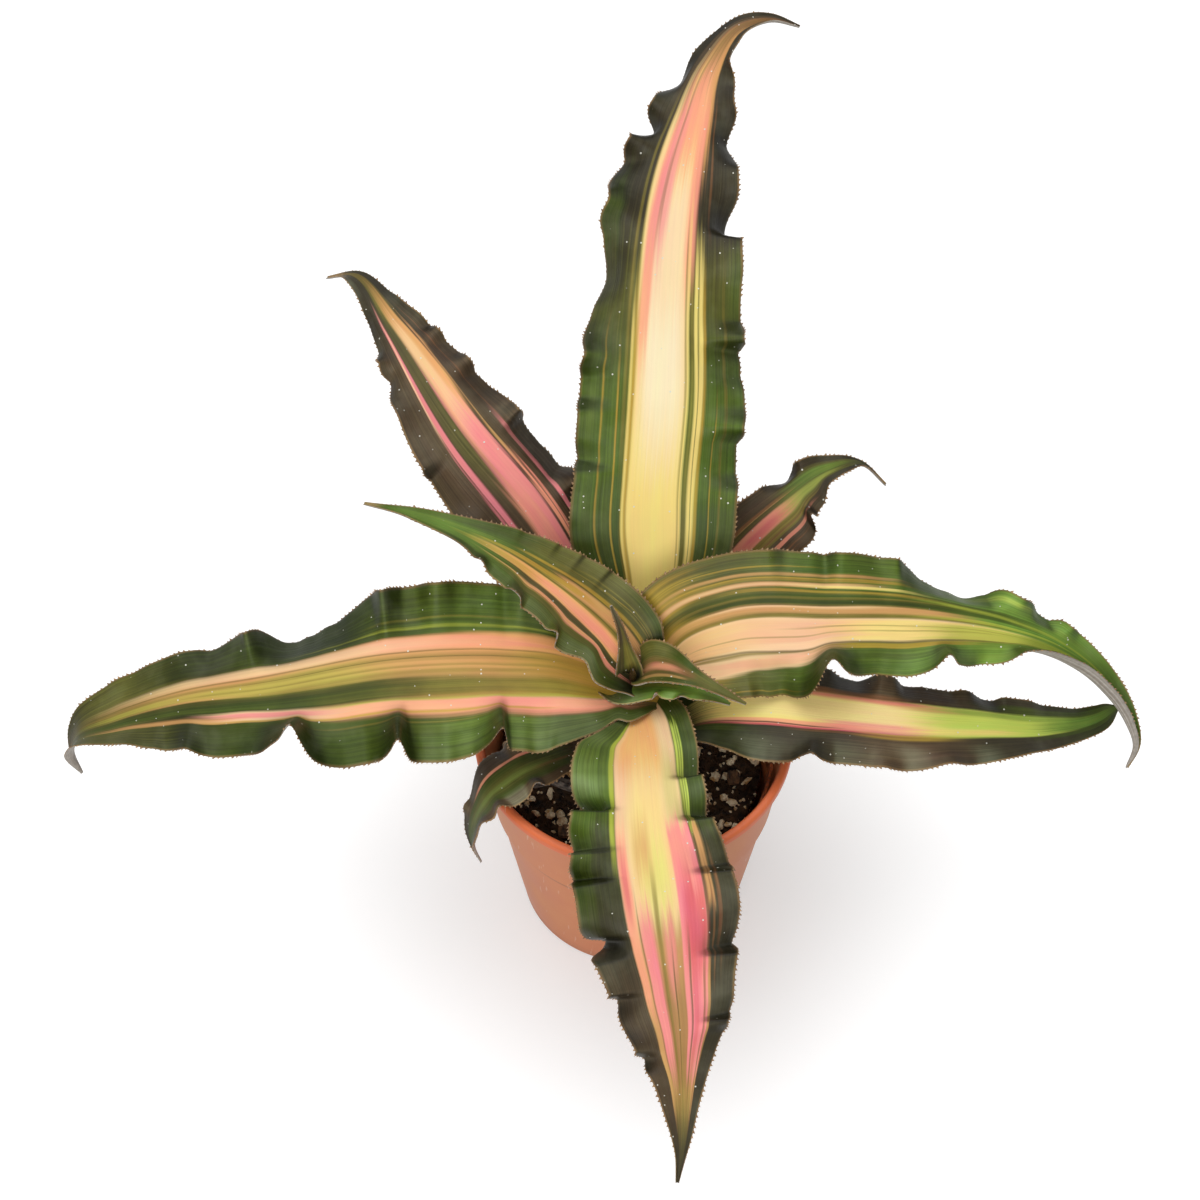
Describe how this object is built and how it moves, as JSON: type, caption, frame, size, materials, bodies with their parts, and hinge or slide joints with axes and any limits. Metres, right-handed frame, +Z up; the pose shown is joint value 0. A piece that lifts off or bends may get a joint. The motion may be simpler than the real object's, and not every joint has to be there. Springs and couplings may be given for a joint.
{
  "type": "potted earth star plant",
  "caption": "Rosette of long wavy striped leaves with toothed margins, growing in a small tapered plastic nursery pot of peat and perlite.",
  "frame": {"origin": "centre of the pot's flat underside, on the surface the pot stands on", "axes": "+Z up along the pot's axis, +X towards the long right-hand leaf, +Y towards the tall back leaf; the front leaf points along -Y"},
  "size_m": [0.3085, 0.2852, 0.1962],
  "materials": {
    "pot": "moulded terracotta-coloured plastic, satin, brighter at the lip",
    "soil": "dark loose peat with grains of perlite and bark",
    "stem": "short woody stem hidden by leaf bases",
    "leaf": "stiff fleshy leaf, semi-gloss, striped green, cream, salmon and pink",
    "dried_leaf": "dark shrivelled dead leaf",
    "perlite": "crumbly off-white grains",
    "bark": "rough dark brown chips",
    "dried_strip": "dry red-brown strips"
  },
  "bodies": {
    "root": {"pot": "pot", "soil": "soil", "stem": "stem", "leaf_back": "leaf", "leaf_left": "leaf", "leaf_right": "leaf", "leaf_lower_right": "leaf", "leaf_front": "leaf", "leaf_back_left": "leaf", "leaf_back_right": "leaf", "leaf_upper_left": "leaf", "leaf_front_left": "leaf", "leaf_inner_right": "leaf", "leaf_inner_front": "leaf", "leaf_centre_spike": "leaf", "centre_bud": "leaf", "leaf_dried": "dried_leaf", "perlite_a": "perlite", "perlite_b": "perlite", "perlite_c": "perlite", "perlite_d": "perlite", "perlite_e": "perlite", "perlite_f": "perlite", "perlite_g": "perlite", "perlite_h": "perlite", "bark_chip_a": "bark", "bark_chip_b": "bark", "bark_chip_c": "bark", "dried_strip_front": "dried_strip", "dried_strip_side": "dried_strip"}
  },
  "joints": []
}
